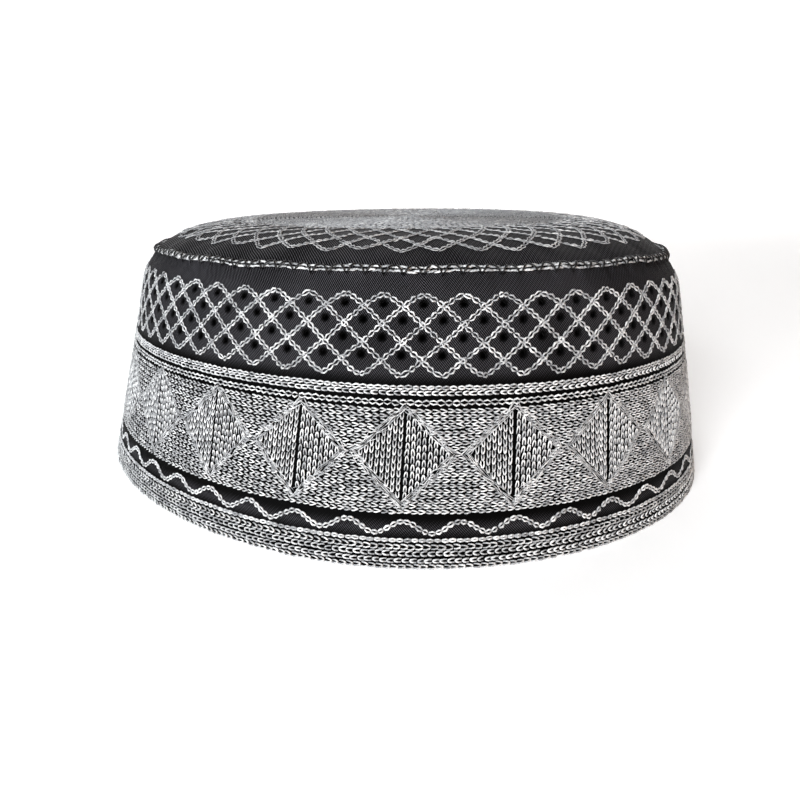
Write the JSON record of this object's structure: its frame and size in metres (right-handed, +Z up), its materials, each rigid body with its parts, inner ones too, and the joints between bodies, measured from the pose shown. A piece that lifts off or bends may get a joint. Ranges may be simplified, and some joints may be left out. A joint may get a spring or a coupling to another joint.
{
  "type": "embroidered kufi cap",
  "caption": "Brimless round cap with a stiff cloth side band, a low domed crown and raised chain-stitch bands; worn on the head.",
  "frame": {"origin": "middle of the cap on the plane that the rim rests on", "axes": "+Z up through the crown, -Y the side that the picture shows, +X to that view's right"},
  "size_m": [0.1914, 0.1866, 0.0737],
  "materials": {
    "black_cloth": "satin",
    "silver_thread": "satin"
  },
  "bodies": {
    "root": {"side_band": "black_cloth", "crown": "black_cloth", "crown_field": "silver_thread", "crown_seam_cord": "silver_thread", "upper_double_row": "silver_thread", "upper_single_row": "silver_thread", "belt_triangles_upper": "silver_thread", "belt_triangles_lower": "silver_thread", "rim_row_upper": "silver_thread", "rim_rows_middle": "silver_thread", "rim_rows_lower": "silver_thread", "belt_diamond_01": "silver_thread", "belt_diamond_02": "silver_thread", "belt_diamond_03": "silver_thread", "belt_diamond_04": "silver_thread", "belt_diamond_05": "silver_thread", "belt_diamond_06": "silver_thread", "belt_diamond_07": "silver_thread", "belt_diamond_08": "silver_thread", "belt_diamond_09": "silver_thread", "belt_diamond_10": "silver_thread", "belt_diamond_11": "silver_thread", "belt_diamond_12": "silver_thread", "belt_diamond_13": "silver_thread", "belt_diamond_14": "silver_thread", "belt_diamond_15": "silver_thread", "belt_diamond_16": "silver_thread", "belt_diamond_17": "silver_thread", "belt_diamond_18": "silver_thread", "belt_diamond_19": "silver_thread", "belt_diamond_20": "silver_thread", "belt_diamond_21": "silver_thread", "belt_diamond_22": "silver_thread"}
  },
  "joints": []
}
